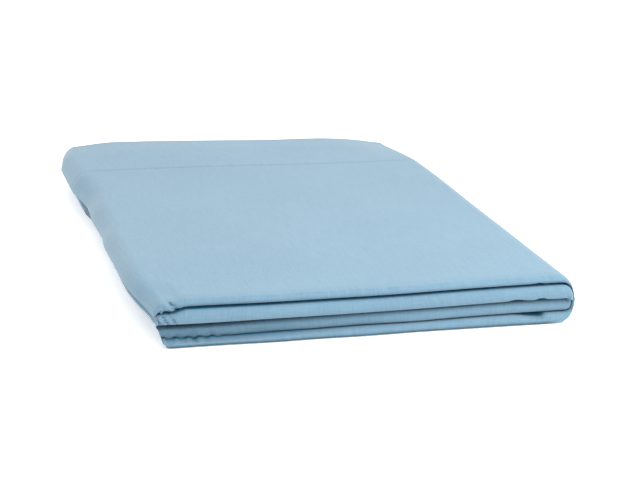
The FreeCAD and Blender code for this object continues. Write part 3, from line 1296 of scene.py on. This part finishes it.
class Gown:
    """The whole gown: its panels, seams, binding, sleeves, ties, label and stitches."""

    def __init__(self, finishes: Finishes) -> None:
        """Keeps the finishes."""
        self.finishes = finishes
        self.panels = panels()
        self.trims: dict[str, list[bpy.types.Object]] = {name: [] for name in self.panels}

    def add(self, panel: str, trim: Trim, material: bpy.types.Material, slot: str) -> None:
        """Dresses a small piece that goes with a panel."""
        trim.dress(material, slot)
        self.trims[panel].append(trim.piece)

    def build_edges(self) -> None:
        """The centre back edges, the side seams and the armholes."""
        thread = self.finishes.thread
        cloth = self.finishes.cloth[LOWER.body]
        for side in Side:
            word = side.word
            edge = EdgeTrim(UPPER, "back_edge_" + word, "back_edge_thread_" + word)
            edge.build_edging(side.value * UPPER.back_offset, 2.5)
            self.add(f"back_{word}_center", edge, thread, "sewing_thread")
            seam = EdgeTrim(LOWER, "side_seam_rolled_" + word, "side_seam_" + word)
            seam.build_seam(side.value * LOWER.front_offset, side.value * LOWER.back_offset, 0.6)
            self.add("front_" + word, seam, cloth, "gown_cloth")
            armhole = ArmholeSeam(LOWER, "armhole_rolled_" + word, "armhole_seam_" + word)
            armhole.build(side)
            self.add("front_" + word, armhole, cloth, "gown_cloth")

    def build_neck(self) -> None:
        """The neck binding and the label."""
        binding = NeckBinding(UPPER, "neck_bias_binding", "neck_binding")
        binding.build()
        self.add("front_center", binding, self.finishes.tape, "tape")
        label = Label(UPPER, "blank_label", "care_label")
        label.build()
        self.add("back_right_center", label, self.finishes.label, "label")

    def build_stitches(self) -> None:
        """The stitches of the bottom hem."""
        for half, word, panel, sunk in ((UPPER, "center", "front_center", 0.03),
                                        (LOWER, "side", "front_right", 0.11)):
            stitches = HemStitches(half, "hem_stitches_" + word, "hem_thread_" + word)
            stitches.build(sunk)
            self.add(panel, stitches, self.finishes.thread, "sewing_thread")

    def build_ties(self) -> None:
        """The neck ties and the waist ties."""
        neck_start = UPPER.shoulder - 96.0
        neck_end = UPPER.inner_fold + 26.0
        waist_start = UPPER.back_fold - 20.0
        waist_end = waist_start - (neck_start - neck_end)
        for index, side in enumerate(Side):
            for part, level, start, end in (("neck", 4, neck_start, neck_end),
                                            ("waist", 3, waist_start, waist_end)):
                tie = Tie(UPPER, f"{part}_tie_tape_{side.word}", f"{part}_tie_{side.word}")
                length = tie.build(level, start, end, index)
                tie.dress(self.finishes.tape, "tape")
                tie.declare((12.0, length), "gown_back_left_center")

    def build_sleeves(self) -> None:
        """The sleeves, with their stitched ends."""
        for side in Side:
            word = side.word
            sleeve = Sleeve(LOWER, "sleeve_flat_" + word, "sleeve_" + word)
            flat = sleeve.build(side)
            sleeve.dress(self.finishes.cloth[LOWER.body], "gown_cloth")
            hem = Sleeve(LOWER, "sleeve_end_" + word, "sleeve_hem_thread_" + word)
            hem.build_hem(side)
            hem.dress(self.finishes.thread, "sewing_thread")
            sleeve.declare(flat, "gown_back_left_side", [hem.piece])

    def build(self) -> None:
        """Makes every piece."""
        for panel in self.panels.values():
            panel.build()
        self.build_edges()
        self.build_neck()
        self.build_stitches()
        self.build_ties()
        self.build_sleeves()
        for name, panel in self.panels.items():
            panel.dress(self.finishes, self.trims[name])


# ---------------------------------------------------------------- the studio


@dataclass(frozen=True)
class Studio:
    """A pale floor that gives off a little light, a soft light, and the camera."""

    azimuth: float = math.radians(-14.9)
    elevation: float = math.radians(15.8)
    roll: float = math.radians(1.25)
    distance: float = 0.950
    aim: tuple[float, float, float] = (0.0083, -0.026, 0.010)
    lens: float = 110.25
    floor_glow: float = 0.3
    world: float = 1.5
    key: float = 3.3

    def floor(self) -> None:
        """A wide plain floor."""
        bm = bmesh.new()
        bmesh.ops.create_grid(bm, x_segments=1, y_segments=1, size=6.0)
        mesh = bpy.data.meshes.new("floor")
        bm.to_mesh(mesh)
        bm.free()
        floor = bpy.data.objects.new("floor", mesh)
        bpy.context.scene.collection.objects.link(floor)
        g = Graph("floor_paint")
        place = g.add("ShaderNodeTexCoord", {}, {}, "Object")
        cloud = g.add("ShaderNodeTexNoise", {}, {"Vector": place, "Scale": 3.0})
        colour = g.mix(cloud, (0.93, 0.93, 0.93, 1), (0.95, 0.95, 0.95, 1))
        shader = g.add("ShaderNodeBsdfPrincipled", {}, {
            "Base Color": colour, "Roughness": 0.9, "Specular IOR Level": 0.1,
            "Emission Color": (1.0, 1.0, 1.0, 1.0), "Emission Strength": self.floor_glow})
        mesh.materials.append(g.finished(shader))

    def light(self, name: str, place: Vector, size: float, watts: float) -> None:
        """A square soft light that faces the packet.

        Args:
            name: The light's name.
            place: Where it stands.
            size: The length of its sides.
            watts: Its power.
        """
        lamp = bpy.data.lights.new(name, "AREA")
        lamp.size = size
        lamp.energy = watts
        holder = bpy.data.objects.new(name, lamp)
        holder.location = place
        holder.rotation_euler = (-place).to_track_quat("-Z", "Y").to_euler()
        bpy.context.scene.collection.objects.link(holder)

    def build(self) -> None:
        """Sets the floor, the lights and the camera."""
        self.floor()
        world = bpy.data.worlds.new("studio")
        world.use_nodes = True
        background = world.node_tree.nodes["Background"]
        background.inputs["Color"].default_value = (1.0, 1.0, 1.0, 1.0)
        background.inputs["Strength"].default_value = self.world
        bpy.context.scene.world = world
        self.light("softbox", Vector((0.27, -0.29, 0.46)), 0.4, self.key)
        a, e, r = self.azimuth, self.elevation, self.roll
        back = Vector((math.sin(a) * math.cos(e), -math.cos(a) * math.cos(e), math.sin(e)))
        right = Vector((math.cos(a), math.sin(a), 0.0))
        up = back.cross(right)
        turned = math.cos(r) * right + math.sin(r) * up
        upright = math.cos(r) * up - math.sin(r) * right
        camera = bpy.data.objects.new("camera", bpy.data.cameras.new("camera"))
        camera.data.lens = self.lens
        camera.data.clip_end = 50.0
        turn = Matrix((turned, upright, back)).transposed().to_4x4()
        camera.matrix_world = Matrix.Translation(Vector(self.aim) + back * self.distance) @ turn
        bpy.context.scene.collection.objects.link(camera)
        bpy.context.scene.camera = camera
        bpy.context.scene.view_settings.view_transform = "Standard"


def main() -> None:
    """Builds the gown and the studio."""
    logging.basicConfig(level=logging.INFO, format="%(message)s")
    finishes = Finishes.make()
    Gown(finishes).build()
    Studio().build()


if __name__ == "__main__":
    main()
